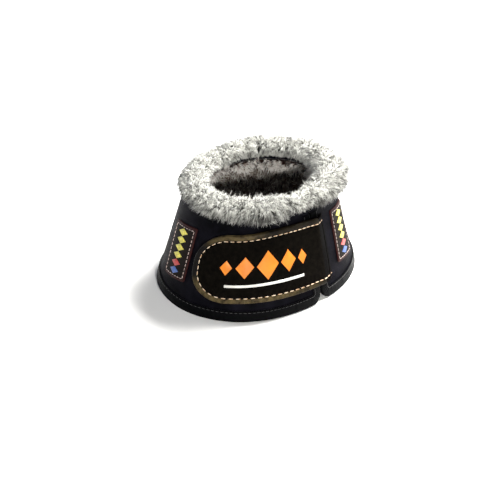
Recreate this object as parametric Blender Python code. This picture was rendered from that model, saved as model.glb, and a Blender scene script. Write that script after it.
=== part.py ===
"""Overreach boot: a bell of neoprene lined with pile fleece, with a fleece collar and a wide hook and loop strap.

It stands closed on its hem, +Z up, with the strap at the front (-Y). Every layer is cut flat as one strip, parted
where the boot bends as it opens, and then wrapped round the cone. Lengths are in metres, angles in radians.
"""

import math

import bmesh
import bpy
from mathutils import Matrix, Vector

for old in list(bpy.data.objects):
    bpy.data.objects.remove(old, do_unlink=True)

MM = 0.001

# Driving dimensions of the bell: the shell's outer face, and how far it is squashed to an oval
HEM_RADIUS = 87.5 * MM
NECK_RADIUS = 63.5 * MM
SHELL_HEIGHT = 88.0 * MM
OVAL_SHARE = 0.10
OVAL_DIRECTION = math.radians(-44)

# Layers, from the outside in
SHELL_WALL = 4.5 * MM
LINING_PILE = 10.0 * MM
LINING_ROUND = 3.0 * MM
GAP = 0.3 * MM

# Binding tape round the hem and both ends
BINDING_TAPE = 0.8 * MM
BINDING_WIDTH = 9.0 * MM
BINDING_FOLD_ROUND = 0.5 * MM
CORNER_INNER_RADIUS = 2.0 * MM
CORNER_STEPS = 6

# Fleece collar, a roll that takes the shell's top edge in a seam
COLLAR_HALF_WIDTH = 14.0 * MM
COLLAR_HALF_HEIGHT = 10.3 * MM
COLLAR_SEAM_DEPTH = 7.6 * MM
COLLAR_STEPS = 18

# Where the boot closes and where it bends as it opens, as angles from the front towards +X
CLOSURE = math.radians(47)
CLOSURE_GAP = 0.5 * MM
RIGHT_FRONT_SPAN = math.radians(56)
LEFT_FRONT_SPAN = math.radians(119)
REAR_SPAN = math.radians(60)
FACET = math.radians(5)
HINGE_CLEARANCE = 1.0 * MM

# Strap, sewn to one end of the boot and closed over the other
STRAP_BOTTOM = 19.5 * MM
STRAP_TOP_MARGIN = 1.9 * MM
STRAP_SEWN_LENGTH = 3.0 * MM
STRAP_FOLD_LENGTH = 14.0 * MM
STRAP_TAIL_LENGTH = 95.3 * MM
STRAP_END_FLAT = 7.0 * MM
STRAP_DIP = 2.7 * MM
STRAP_END_STEPS = 7
STRAP_WEB = 2.1 * MM
STRAP_RIM_RISE = 0.6 * MM
STRAP_RIM_WIDTH = 4.3 * MM
STRAP_RIM_ROUND = 0.8 * MM
STRAP_HINGE_CLEARANCE = 0.5 * MM

# Hook tape inside the strap's free end, and the loop panel that it presses on
HOOK_TAPE = 1.0 * MM
HOOK_INSET = 5.0 * MM
LOOP_TAPE = 1.0 * MM
LOOP_WIDTH = 35.0 * MM
LOOP_INSET = 3.0 * MM
LOOP_CORNER = 4.0 * MM

# Sewn labels, one on each front panel
LABEL_WIDTH = 31.0 * MM
LABEL_HEIGHT = 48.0 * MM
LABEL_THICKNESS = 1.0 * MM
LABEL_CORNER = 1.5 * MM
LABEL_STEPS = 3
LABEL_SLOPE = math.radians(8)
LABEL_RIGHT_LEAN = math.radians(7)
LABEL_LEFT = math.radians(-53.7)
LABEL_RIGHT = math.radians(82.5)

# How far a length runs past the place where it is cut, and how near to a cut counts as on it
OVERRUN = 5.0 * MM
CUT_TOLERANCE = 0.0003 * MM

# Heights and offsets that follow from the sizes above
FULL_TURN = 2 * math.pi
SLOPE = (HEM_RADIUS - NECK_RADIUS) / SHELL_HEIGHT
SHELL_BOTTOM = BINDING_TAPE + GAP
COLLAR_BOTTOM = SHELL_HEIGHT - COLLAR_SEAM_DEPTH
COLLAR_CENTRE = COLLAR_BOTTOM + COLLAR_HALF_HEIGHT
BINDING_TOP = SHELL_BOTTOM + BINDING_WIDTH
CORNER_RADIUS = BINDING_WIDTH + CORNER_INNER_RADIUS
RING = FULL_TURN * HEM_RADIUS
END = CLOSURE_GAP / 2 + BINDING_TAPE + GAP
BINDING_CLEAR = END + BINDING_WIDTH + GAP

STRAP_TOP = COLLAR_BOTTOM - STRAP_TOP_MARGIN
STRAP_MIDDLE = (STRAP_BOTTOM + STRAP_TOP) / 2
STRAP_END_RADIUS = (STRAP_TOP - STRAP_BOTTOM - STRAP_END_FLAT) / 2
LOOP_LEVEL = GAP
HOOK_LEVEL = LOOP_LEVEL + LOOP_TAPE + GAP
STRAP_LEVEL = HOOK_LEVEL + HOOK_TAPE + GAP
STRAP_FACE = STRAP_LEVEL + STRAP_WEB + STRAP_RIM_RISE
OVER_BINDING = GAP + BINDING_TAPE + GAP

# The five panels that the bend lines make, as angles round from the closure
BACK_START = RIGHT_FRONT_SPAN + REAR_SPAN
BACK_END = FULL_TURN - LEFT_FRONT_SPAN - REAR_SPAN
PANELS = {
    "right_front": (0, RIGHT_FRONT_SPAN),
    "right_rear": (RIGHT_FRONT_SPAN, BACK_START),
    "back": (BACK_START, BACK_END),
    "left_rear": (BACK_END, FULL_TURN - LEFT_FRONT_SPAN),
    "left_front": (FULL_TURN - LEFT_FRONT_SPAN, FULL_TURN),
}


def shell_radius(height):
    """The cone's mean radius at a height, at the shell's outer face."""
    return HEM_RADIUS - SLOPE * height


def oval(angle):
    """How much wider than round the boot stands in one direction."""
    return 1 + OVAL_SHARE * math.cos(2 * (angle - OVAL_DIRECTION))


def on_boot(angle, height, offset):
    """A point by its angle from the front, its height, and how far it stands outside the shell's outer face."""
    radius = (shell_radius(height) + offset) * oval(angle)
    return Vector((radius * math.sin(angle), -radius * math.cos(angle), height))


def ring_angle(x, height):
    """A strip's length, measured round the hem from the closure, as an angle."""
    return CLOSURE + x / HEM_RADIUS


def strap_angle(x, height):
    """The strap's length, measured from the closure at the strap's middle height, as an angle."""
    return CLOSURE + x / shell_radius(STRAP_MIDDLE)


def patch_angle(centre):
    """A patch's width, measured from its own centre line along the cone, as an angle."""
    return lambda x, height: centre + x / (shell_radius(height) * oval(centre))


def material(name, colour, roughness):
    """A plain surface of one colour."""
    made = bpy.data.materials.new(name)
    made.use_nodes = True
    shader = made.node_tree.nodes["Principled BSDF"]
    shader.inputs["Base Color"].default_value = (*colour, 1)
    shader.inputs["Roughness"].default_value = roughness
    shader.inputs["Metallic"].default_value = 0
    return made


NEOPRENE = ((0.022, 0.026, 0.042), 0.75)
TAPE_BLACK = ((0.012, 0.012, 0.015), 0.6)
FLEECE_GREY = ((0.42, 0.43, 0.42), 0.95)
FLEECE_LINING = ((0.20, 0.19, 0.18), 0.95)
STRAP_BLACK = ((0.012, 0.012, 0.012), 0.7)
HOOK_BLACK = ((0.01, 0.01, 0.01), 0.85)
LABEL_DARK = ((0.035, 0.012, 0.014), 0.6)


def at_plane(strip, x, keep=None):
    """Cuts a flat strip across at x. With keep, the side that isn't kept goes and the cut is closed."""
    geometry = strip.verts[:] + strip.edges[:] + strip.faces[:]
    cut = bmesh.ops.bisect_plane(
        strip,
        geom=geometry,
        dist=CUT_TOLERANCE,
        plane_co=(x, 0, 0),
        plane_no=(1, 0, 0),
        clear_inner=keep == "above",
        clear_outer=keep == "below",
    )
    if keep:
        edges = [e for e in cut["geom_cut"] if isinstance(e, bmesh.types.BMEdge)]
        bmesh.ops.edgeloop_fill(strip, edges=edges)


def piece_between(whole, low, high, step):
    """A copy of a flat strip from low to high, cut across at every step so that it can bend."""
    strip = whole.copy()
    start = min(v.co.x for v in strip.verts)
    end = max(v.co.x for v in strip.verts)
    if low > start:
        at_plane(strip, low, keep="above")
    if high < end:
        at_plane(strip, high, keep="below")
    first, last = max(low, start), min(high, end)
    for number in range(math.ceil(first / step), math.floor(last / step) + 1):
        if first < number * step < last:
            at_plane(strip, number * step)
    return strip


def wrapped(name, strip, angle_of, finish, lift_of=None, dip_of=None):
    """Wraps a flat strip round the boot and makes it an object: x runs round, y outwards and z up."""
    for vert in strip.verts:
        x, y, z = vert.co
        lift = lift_of(x) if lift_of else 0
        dip = dip_of(x) if dip_of else 0
        vert.co = on_boot(angle_of(x, z), z - dip, y + lift)
    bmesh.ops.recalc_face_normals(strip, faces=strip.faces[:])
    if strip.calc_volume(signed=True) < 0:
        bmesh.ops.reverse_faces(strip, faces=strip.faces[:])
    mesh = bpy.data.meshes.new(name)
    strip.to_mesh(mesh)
    strip.free()
    mesh.shade_smooth()
    mesh.set_sharp_from_angle(angle=math.radians(35))
    mesh.materials.append(material(name, *finish))
    made = bpy.data.objects.new(name, mesh)
    bpy.context.scene.collection.objects.link(made)
    return made


def flat_plate(outline, level, thickness, edge_round=0):
    """A plate on an outline of (x, z) points, from a level outwards, or inwards if its thickness is negative."""
    plate = bmesh.new()
    face = plate.faces.new([plate.verts.new((x, level, z)) for x, z in outline])
    bmesh.ops.recalc_face_normals(plate, faces=[face])
    outwards = 1 if thickness > 0 else -1
    if face.normal.y * outwards < 0:
        bmesh.ops.reverse_faces(plate, faces=[face])
    grown = bmesh.ops.extrude_face_region(plate, geom=[face], use_keep_orig=True)["geom"]
    verts = [v for v in grown if isinstance(v, bmesh.types.BMVert)]
    rise = thickness - outwards * edge_round
    bmesh.ops.translate(plate, verts=verts, vec=(0, rise, 0))
    top = next(f for f in grown if isinstance(f, bmesh.types.BMFace))
    if edge_round:
        bmesh.ops.inset_region(plate, faces=[top], thickness=edge_round, depth=edge_round, use_even_offset=True)
    return plate, top


def arc(centre_x, centre_z, radius, start, end, steps):
    """Points along an arc, from one angle to another."""
    angles = [start + (end - start) * n / steps for n in range(steps + 1)]
    return [(centre_x + radius * math.cos(a), centre_z + radius * math.sin(a)) for a in angles]


def along_strap(distance, height):
    """The strap's length at which a strip stands a true distance in from its end, at a height."""
    return distance * shell_radius(STRAP_MIDDLE) / shell_radius(height)


def along_hem(distance, height, mirrored=False):
    """The hem length at which a strip stands a true distance in from its end, at a height."""
    x = distance * HEM_RADIUS / shell_radius(height)
    return RING - x if mirrored else x


def sheet_outline(inset, bottom, top, radius):
    """A whole layer's outline: its lower corners are rounded, and its ends follow the cone."""
    quarter = math.pi / 2
    corner = arc(inset + radius, bottom + radius, radius, 2 * quarter, 3 * quarter, CORNER_STEPS)
    left = [(inset, top), *corner]
    near = [(along_hem(x, z), z) for x, z in left]
    far = [(along_hem(x, z, mirrored=True), z) for x, z in reversed(left)]
    return near + far


def shell_layer():
    """The neoprene, one sheet the whole way round."""
    outline = sheet_outline(END, SHELL_BOTTOM, SHELL_HEIGHT, CORNER_RADIUS)
    return flat_plate(outline, -SHELL_WALL, SHELL_WALL)[0]


def lining_layer():
    """The fleece inside the shell, between the binding and the collar, with its pile edges rounded."""
    inset = BINDING_CLEAR
    bottom = BINDING_TOP + GAP
    radius = CORNER_RADIUS - BINDING_WIDTH - GAP
    outline = sheet_outline(inset, bottom, COLLAR_BOTTOM - GAP, radius)
    return flat_plate(outline, -SHELL_WALL - GAP, -LINING_PILE, LINING_ROUND)[0]


def collar_crossing(offset):
    """The angle on the collar's roll at which it meets a face of the shell, on its lower side."""
    tilt = math.atan2(SLOPE * COLLAR_HALF_HEIGHT, COLLAR_HALF_WIDTH)
    swing = math.hypot(SLOPE * COLLAR_HALF_HEIGHT, COLLAR_HALF_WIDTH)
    return tilt - math.acos((SHELL_WALL + offset) / swing)


def collar_layer():
    """The fleece roll: an oval section, slit from below for the shell's top edge."""
    outside = collar_crossing(GAP)
    inside = collar_crossing(-SHELL_WALL - GAP)
    turn = inside + FULL_TURN - outside
    section = []
    for step in range(COLLAR_STEPS + 1):
        angle = outside + turn * step / COLLAR_STEPS
        height = COLLAR_CENTRE + COLLAR_HALF_HEIGHT * math.sin(angle)
        radius = shell_radius(COLLAR_CENTRE) - SHELL_WALL + COLLAR_HALF_WIDTH * math.cos(angle)
        section.append((radius - shell_radius(height), height))
    section.append((-SHELL_WALL - GAP, SHELL_HEIGHT + GAP))
    section.append((GAP, SHELL_HEIGHT + GAP))
    half_gap = CLOSURE_GAP / 2
    roll = bmesh.new()
    face = roll.faces.new([roll.verts.new((half_gap, y, z)) for y, z in section])
    grown = bmesh.ops.extrude_face_region(roll, geom=[face], use_keep_orig=True)["geom"]
    verts = [v for v in grown if isinstance(v, bmesh.types.BMVert)]
    bmesh.ops.translate(roll, verts=verts, vec=(RING - 2 * half_gap, 0, 0))
    return roll


def binding_section():
    """The folded tape across, as (offset from the shell's face, distance in from the shell's edge)."""
    outer = GAP + BINDING_TAPE
    inner = -SHELL_WALL - GAP - BINDING_TAPE
    under = -GAP - BINDING_TAPE
    return [
        (outer, BINDING_WIDTH),
        (outer, under + BINDING_FOLD_ROUND),
        (outer - BINDING_FOLD_ROUND, under),
        (inner + BINDING_FOLD_ROUND, under),
        (inner, under + BINDING_FOLD_ROUND),
        (inner, BINDING_WIDTH),
        (inner + BINDING_TAPE, BINDING_WIDTH),
        (inner + BINDING_TAPE, -GAP),
        (GAP, -GAP),
        (GAP, BINDING_WIDTH),
    ]


def binding_path():
    """Places along the shell's edge from one end's top to the other's: (x, z, and the way into the sheet)."""
    quarter = math.pi / 2
    half = [(END, COLLAR_BOTTOM - GAP, 0)]
    for step in range(CORNER_STEPS + 1):
        turn = quarter * step / CORNER_STEPS
        x = END + CORNER_RADIUS * (1 - math.cos(turn))
        z = SHELL_BOTTOM + CORNER_RADIUS * (1 - math.sin(turn))
        half.append((x, z, turn))
    near = [(x, z, math.cos(turn), math.sin(turn), False) for x, z, turn in half]
    far = [(x, z, math.cos(turn), math.sin(turn), True) for x, z, turn in reversed(half)]
    return near + far


def binding_layer():
    """The tape folded over the shell's edge, from the collar down one end, along the hem and up the other end."""
    tape = bmesh.new()
    rings = []
    for x, z, into_x, into_z, mirrored in binding_path():
        ring = []
        for offset, distance in binding_section():
            height = z + distance * into_z
            hem_x = along_hem(x + distance * into_x, height, mirrored)
            ring.append(tape.verts.new((hem_x, offset, height)))
        rings.append(ring)
    count = len(rings[0])
    for one, other in zip(rings, rings[1:]):
        for n in range(count):
            m = (n + 1) % count
            tape.faces.new((one[n], one[m], other[m], other[n]))
    tape.faces.new(rings[0])
    tape.faces.new(list(reversed(rings[-1])))
    return tape


def strap_outline(inset, start, end):
    """The strap's outline from its sewn end to its rounded free end, drawn in by an inset."""
    quarter = math.pi / 2
    radius = STRAP_END_RADIUS - inset
    low, high = STRAP_BOTTOM + inset, STRAP_TOP - inset
    tip = end + inset
    lower = arc(tip + radius, low + radius, radius, 2 * quarter, 3 * quarter, STRAP_END_STEPS)
    upper = arc(tip + radius, high - radius, radius, quarter, 2 * quarter, STRAP_END_STEPS)
    return [(start, high), *upper, *lower, (start, low)]


def sewn_place():
    """The strap's length from the closure to where it is past the binding all the way up, and is sewn on."""
    return along_strap(BINDING_CLEAR, STRAP_TOP)


def strap_layer():
    """The whole strap, flat: a webbing with a raised, rounded rim that stops at its sewn end."""
    end = -STRAP_FOLD_LENGTH - STRAP_TAIL_LENGTH
    outline = strap_outline(0, sewn_place() + STRAP_SEWN_LENGTH + OVERRUN, end)
    strap, top = flat_plate(outline, 0, STRAP_WEB + STRAP_RIM_RISE, STRAP_RIM_ROUND)
    flat = STRAP_RIM_WIDTH - 2 * STRAP_RIM_ROUND
    bmesh.ops.inset_region(strap, faces=[top], thickness=flat, use_even_offset=True)
    fall = {"thickness": STRAP_RIM_ROUND, "depth": -STRAP_RIM_RISE, "use_even_offset": True}
    bmesh.ops.inset_region(strap, faces=[top], **fall)
    at_plane(strap, sewn_place())
    return strap


def strap_lift(x):
    """How far the strap's underside stands off the shell: it crosses the binding and comes down at its sewn end."""
    if x < sewn_place():
        share = max(x / sewn_place(), 0)
        return STRAP_LEVEL + (OVER_BINDING - STRAP_LEVEL) * share
    share = (x - sewn_place()) / STRAP_SEWN_LENGTH
    return OVER_BINDING + (GAP - OVER_BINDING) * share


def strap_dip(x):
    """How far the strap has come down: it is cut straighter than the cone, so its two ends stand lower."""
    start, end = sewn_place() + STRAP_SEWN_LENGTH, -STRAP_FOLD_LENGTH - STRAP_TAIL_LENGTH
    share = (2 * x - start - end) / (start - end)
    return STRAP_DIP * share**2


def hook_tape():
    """The hook tape sewn inside the strap's free end."""
    end = -STRAP_FOLD_LENGTH - STRAP_TAIL_LENGTH
    outline = strap_outline(HOOK_INSET, -STRAP_FOLD_LENGTH - HOOK_INSET, end)
    return flat_plate(outline, HOOK_LEVEL, HOOK_TAPE)[0]


def rounded_rectangle(width, height, radius, steps, middle=(0, 0)):
    """A rectangle's outline with rounded corners, about its middle."""
    quarter = math.pi / 2
    side, rise = width / 2 - radius, height / 2 - radius
    outline = []
    for turn, (x, z) in enumerate([(side, rise), (-side, rise), (-side, -rise), (side, -rise)]):
        start = turn * quarter
        outline += arc(middle[0] + x, middle[1] + z, radius, start, start + quarter, steps)
    return outline


def loop_panel():
    """The loop panel sewn to the front of the other end, under the strap."""
    high, low = STRAP_TOP - LOOP_INSET, STRAP_BOTTOM + LOOP_INSET
    near = -along_strap(BINDING_CLEAR, high)
    middle = (near - LOOP_WIDTH / 2, (high + low) / 2)
    outline = rounded_rectangle(LOOP_WIDTH, high - low, LOOP_CORNER, LABEL_STEPS, middle)
    return flat_plate(outline, LOOP_LEVEL, LOOP_TAPE)[0]


def label(slope, lean):
    """A sewn label, half way up the open face of the shell, with sloping upper and lower edges and leaning sides."""
    middle = (BINDING_TOP + COLLAR_BOTTOM) / 2
    outline = rounded_rectangle(LABEL_WIDTH, LABEL_HEIGHT, LABEL_CORNER, LABEL_STEPS)
    set_off = [(x + z * math.tan(lean), middle + z + x * math.tan(slope)) for x, z in outline]
    return flat_plate(set_off, GAP, LABEL_THICKNESS)[0]


def hinge(name, low, high, parent=None):
    """An empty on a hinge line through two points, with its Z axis up the line."""
    turn = (high - low).to_track_quat("Z", "Y").to_matrix().to_4x4()
    empty = bpy.data.objects.new(name, None)
    bpy.context.scene.collection.objects.link(empty)
    empty.parent = parent
    if parent:
        empty.matrix_parent_inverse = places[parent.name].inverted()
    empty.matrix_basis = Matrix.Translation(low) @ turn
    places[name] = Matrix.Translation(low) @ turn
    return empty


def panel_hinge(name, along, parent=None):
    """A panel's hinge line: it stands just outside the hem binding below and the collar above."""
    angle = CLOSURE + along
    hem_offset = GAP + BINDING_TAPE + HINGE_CLEARANCE
    collar_offset = COLLAR_HALF_WIDTH - SHELL_WALL + HINGE_CLEARANCE
    low = on_boot(angle, 0, hem_offset)
    high = on_boot(angle, COLLAR_CENTRE, collar_offset)
    return hinge(name, low, high, parent)


def strap_hinge(name, x, parent):
    """A bend in the strap: its line runs up the strap's outer face."""
    offset = STRAP_FACE + STRAP_HINGE_CLEARANCE
    angle = strap_angle(x, STRAP_MIDDLE)
    return hinge(name, on_boot(angle, 0, offset), on_boot(angle, SHELL_HEIGHT, offset), parent)


def hang(piece, carrier):
    """Parents a finished piece to its hinge without moving it."""
    if carrier:
        piece.parent = carrier
        piece.matrix_parent_inverse = places[carrier.name].inverted()


places = {}
right_rear = panel_hinge("right_rear_hinge", BACK_START)
right_front = panel_hinge("right_front_hinge", RIGHT_FRONT_SPAN, right_rear)
left_rear = panel_hinge("left_rear_hinge", BACK_END)
left_front = panel_hinge("left_front_hinge", FULL_TURN - LEFT_FRONT_SPAN, left_rear)
strap_root = strap_hinge("strap_root_hinge", 0, right_front)
strap_end = strap_hinge("strap_end_hinge", -STRAP_FOLD_LENGTH, strap_root)
carriers = {
    "right_front": right_front,
    "right_rear": right_rear,
    "back": None,
    "left_rear": left_rear,
    "left_front": left_front,
}

layers = {
    "shell": (shell_layer(), NEOPRENE),
    "lining": (lining_layer(), FLEECE_LINING),
    "collar": (collar_layer(), FLEECE_GREY),
    "binding": (binding_layer(), TAPE_BLACK),
}
for layer, (whole, finish) in layers.items():
    for panel, (low, high) in PANELS.items():
        near = low * HEM_RADIUS + GAP / 2
        far = high * HEM_RADIUS - GAP / 2
        strip = piece_between(whole, near, far, FACET * HEM_RADIUS)
        hang(wrapped(f"{layer}_{panel}", strip, ring_angle, finish), carriers[panel])
    whole.free()

strap = strap_layer()
tip = -STRAP_FOLD_LENGTH - STRAP_TAIL_LENGTH
strap_parts = {
    "strap_base": (GAP / 2, sewn_place() + STRAP_SEWN_LENGTH, right_front),
    "strap_fold": (-STRAP_FOLD_LENGTH + GAP / 2, -GAP / 2, strap_root),
    "strap_tail": (tip, -STRAP_FOLD_LENGTH - GAP / 2, strap_end),
}
bend = FACET * shell_radius(STRAP_MIDDLE)
for name, (low, high, carrier) in strap_parts.items():
    strip = piece_between(strap, low, high, bend)
    hang(wrapped(name, strip, strap_angle, STRAP_BLACK, strap_lift, strap_dip), carrier)
strap.free()

hook = piece_between(hook_tape(), tip, 0, bend)
hang(wrapped("hook_tape", hook, strap_angle, HOOK_BLACK, dip_of=strap_dip), strap_end)
loop = piece_between(loop_panel(), tip, 0, bend)
hang(wrapped("loop_panel", loop, strap_angle, HOOK_BLACK), left_front)

for name, centre, slope, lean, carrier in [
    ("label_left", LABEL_LEFT, LABEL_SLOPE, 0, left_front),
    ("label_right", LABEL_RIGHT, -LABEL_SLOPE, LABEL_RIGHT_LEAN, right_front),
]:
    patch = piece_between(label(slope, lean), -LABEL_HEIGHT, LABEL_HEIGHT, bend)
    hang(wrapped(name, patch, patch_angle(centre), LABEL_DARK), carrier)
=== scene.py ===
"""Looks of an overreach boot: a bell of neoprene lined with pile fleece, with a fleece collar and a wide strap.

Lengths are in metres and angles in radians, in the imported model's frame: +Z up, and the strap at the front (-Y).
"""

import math

import bmesh
import bpy
import numpy as np
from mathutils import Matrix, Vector, noise


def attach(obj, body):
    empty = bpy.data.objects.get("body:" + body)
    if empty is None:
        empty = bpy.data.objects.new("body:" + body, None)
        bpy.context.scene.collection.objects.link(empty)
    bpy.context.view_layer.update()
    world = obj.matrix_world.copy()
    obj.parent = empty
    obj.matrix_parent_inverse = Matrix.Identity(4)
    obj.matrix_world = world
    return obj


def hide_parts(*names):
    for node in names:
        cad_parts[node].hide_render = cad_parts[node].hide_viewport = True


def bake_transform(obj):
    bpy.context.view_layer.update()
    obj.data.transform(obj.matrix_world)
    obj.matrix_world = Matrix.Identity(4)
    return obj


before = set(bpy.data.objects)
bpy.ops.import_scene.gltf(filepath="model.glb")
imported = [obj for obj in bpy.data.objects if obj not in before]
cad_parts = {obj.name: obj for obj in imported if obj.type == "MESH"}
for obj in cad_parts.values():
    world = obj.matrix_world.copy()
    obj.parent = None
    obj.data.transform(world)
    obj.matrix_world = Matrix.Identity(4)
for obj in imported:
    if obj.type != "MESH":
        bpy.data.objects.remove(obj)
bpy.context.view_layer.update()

# Shell. One sheet of 4.5 mm neoprene foam with a dark navy knitted nylon face, cut as part of a cone, whose two
# ends meet at the front right. It is drawn in five arcs, because a sheet may bend over one hinge line only.
MM = 0.001
FULL_TURN = 2 * math.pi
HEM_RADIUS = 87.5 * MM
NECK_RADIUS = 63.5 * MM
SHELL_HEIGHT = 88.0 * MM
SHELL_WALL = 4.5 * MM
OVAL_SHARE = 0.10
OVAL_DIRECTION = math.radians(-44)
SLOPE = (HEM_RADIUS - NECK_RADIUS) / SHELL_HEIGHT
GAP = 0.3 * MM
BINDING_TAPE = 0.8 * MM
BINDING_WIDTH = 9.0 * MM
SHELL_BOTTOM = BINDING_TAPE + GAP
SHELL_END = 0.25 * MM + BINDING_TAPE + GAP
CORNER_RADIUS = 11.0 * MM
CORNER_STEPS = 8
CLOSURE = math.radians(47)
ARC_STEP = math.radians(2)
ROW_HEIGHT = 4.0 * MM
RIPPLE = 0.35 * MM
RIPPLE_SIZE = 30.0 * MM

# Each arc: the angles it runs between, the panel and the hinge line that it bends from, the panel it bends to, and
# the panels that it stands for. The last arc bends over no line.
BEND_REACH = math.radians(30)
ARCS = {
    "right": (47, 133, "right_rear", 103, "right_front", ("right_front", "right_rear")),
    "back_right": (133, 195.5, "back", 163, "right_rear", ("back", "right_rear")),
    "back_left": (195.5, 258, "back", 228, "left_rear", ("back", "left_rear")),
    "left": (258, 323, "left_rear", 288, "left_front", ("left_rear", "left_front")),
    "front": (323, 407, None, None, "left_front", ("left_front",)),
}


def shell_radius(height):
    """The cone's mean radius at a height, at the shell's outer face."""
    return HEM_RADIUS - SLOPE * height


def on_boot(angle, height, offset):
    """A point by its angle from the front, its height, and how far it stands outside the shell's outer face."""
    oval = 1 + OVAL_SHARE * math.cos(2 * (angle - OVAL_DIRECTION))
    radius = (shell_radius(height) + offset) * oval
    point = Vector((radius * math.sin(angle), -radius * math.cos(angle), height))
    push = RIPPLE * noise.noise(Vector((point.x, point.y, height / 2)) / RIPPLE_SIZE)
    return point + push * Vector((math.sin(angle), -math.cos(angle), 0))


def follow_panels(piece, arc):
    """Rides a piece on its arc's one panel where the arc has no hinge line; otherwise works out the hinge line's ends
    and bakes the piece's place into its mesh.
    """
    fixed, hinge, moving = ARCS[arc][2:5]
    if fixed is None:
        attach(piece, f"{moving}_panel")
        return
    away = -BEND_REACH if moving in ("right_front", "right_rear") else BEND_REACH
    line = [on_boot(math.radians(hinge) + side * away, SHELL_HEIGHT, -SHELL_WALL) for side in (-1, 1)]
    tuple(line[0])
    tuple(line[1])
    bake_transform(piece)


def corner_rise(distance, radius):
    """How far a rounded corner lifts the sheet's lower edge, at a distance in from the sheet's end."""
    if distance >= radius:
        return 0
    return radius - math.sqrt(radius**2 - (radius - distance) ** 2)


def arc_ends(arc):
    """The angles that an arc runs between."""
    return (math.radians(angle) for angle in ARCS[arc][:2])


def arc_columns(arc, inset, radius):
    """The angles of an arc's cuts, closer together in the rounded corner at a free end of the sheet."""
    start, end = arc_ends(arc)
    count = round((end - start) / ARC_STEP)
    angles = [start + (end - start) * n / count for n in range(count + 1)]
    turns = [math.pi / 2 * n / CORNER_STEPS for n in range(CORNER_STEPS + 1)]
    corner = [inset + radius * (1 - math.cos(turn)) for turn in turns]
    if arc == "right":
        near = [CLOSURE + x / HEM_RADIUS for x in corner]
        return near + [a for a in angles if a > near[-1] + ARC_STEP / 2]
    if arc == "front":
        near = [CLOSURE + FULL_TURN - x / HEM_RADIUS for x in reversed(corner)]
        return [a for a in angles if a < near[0] - ARC_STEP / 2] + near
    return angles


def pull(shape, faces, way, keep=True):
    """Extrudes faces along a way, and returns the faces that end up there."""
    grown = bmesh.ops.extrude_face_region(shape, geom=faces, use_keep_orig=keep)["geom"]
    moved = [part for part in grown if isinstance(part, bmesh.types.BMVert)]
    bmesh.ops.translate(shape, verts=moved, vec=way)
    return [part for part in grown if isinstance(part, bmesh.types.BMFace)]


def sheet_arc(name, arc, inset, radius, bottom, top, outer, thickness):
    """One arc of a layer, from a flat grid: its columns go to the arc's angles, its rows between two heights."""
    columns = arc_columns(arc, inset, radius)
    rows = max(2, round((top - bottom) / ROW_HEIGHT))
    sheet = bmesh.new()
    bmesh.ops.create_grid(sheet, x_segments=len(columns) - 1, y_segments=rows, size=0.5)
    pull(sheet, sheet.faces[:], (0, 0, thickness), keep=False)
    cloth = sheet.loops.layers.uv.new("cloth")
    for face in sheet.faces:
        for loop in face.loops:
            x, y = loop.vert.co.x + 0.5, loop.vert.co.y + 0.5
            angle = columns[round(x * (len(columns) - 1))]
            loop[cloth].uv = (angle * HEM_RADIUS, bottom + y * (top - bottom))
    reach = HEM_RADIUS * ARC_STEP * 4
    for vert in sheet.verts:
        angle = columns[round((vert.co.x + 0.5) * (len(columns) - 1))]
        distance = min(angle - CLOSURE, CLOSURE + FULL_TURN - angle) * HEM_RADIUS - inset
        low = bottom + corner_rise(max(distance, 0), radius)
        height = low + (top - low) * (vert.co.y + 0.5)
        if distance < reach:
            true = HEM_RADIUS / shell_radius(height)
            share = max(0, 1 - distance / reach)
            shift = (true - 1) * (distance + inset) * share / HEM_RADIUS
            angle += shift if arc == "right" else -shift
        vert.co = on_boot(angle, height, outer - thickness + vert.co.z)
    return finished(name, sheet)


def finished(name, shape, sharp=35):
    """Makes a mesh object of a modelled shape, smooth but for its sharp edges."""
    bmesh.ops.recalc_face_normals(shape, faces=shape.faces[:])
    if shape.calc_volume(signed=True) < 0:
        bmesh.ops.reverse_faces(shape, faces=shape.faces[:])
    mesh = bpy.data.meshes.new(name)
    shape.to_mesh(mesh)
    shape.free()
    mesh.shade_smooth()
    mesh.set_sharp_from_angle(angle=math.radians(sharp))
    made = bpy.data.objects.new(name, mesh)
    bpy.context.scene.collection.objects.link(made)
    return made


def surface(name, roughness, sheen=0.0, specular=0.5, tint=(1, 1, 1)):
    """A new material, with its node tree and its shader."""
    made = bpy.data.materials.new(name)
    made.use_nodes = True
    shader = made.node_tree.nodes["Principled BSDF"]
    shader.inputs["Roughness"].default_value = roughness
    shader.inputs["Specular IOR Level"].default_value = specular
    shader.inputs["Sheen Weight"].default_value = sheen
    shader.inputs["Sheen Roughness"].default_value = 0.5
    shader.inputs["Sheen Tint"].default_value = (*tint, 1)
    return made, made.node_tree, shader


def node(tree, kind, inputs=None, **settings):
    """A node with its settings, and its inputs set to values or linked from other nodes' outputs."""
    made = tree.nodes.new(kind)
    for key, value in settings.items():
        setattr(made, key, value)
    for key, value in (inputs or {}).items():
        if isinstance(value, bpy.types.NodeSocket):
            tree.links.new(value, made.inputs[key])
        else:
            made.inputs[key].default_value = value
    return made


def ramp(tree, value, *stops):
    """A colour ramp of (place, colour) stops, read at a value. One number as a colour is a grey."""
    made = node(tree, "ShaderNodeValToRGB", {"Fac": value})
    elements = made.color_ramp.elements
    while len(elements) < len(stops):
        elements.new(0.5)
    for element, (place, colour) in zip(elements, stops):
        element.position = place
        element.color = (*colour, 1) if isinstance(colour, tuple) else (colour, colour, colour, 1)
    return made.outputs["Color"]


def paint(tree, shader, value, *stops):
    """Colours a surface by a ramp, read at a value."""
    tree.links.new(ramp(tree, value, *stops), shader.inputs["Base Color"])


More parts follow.
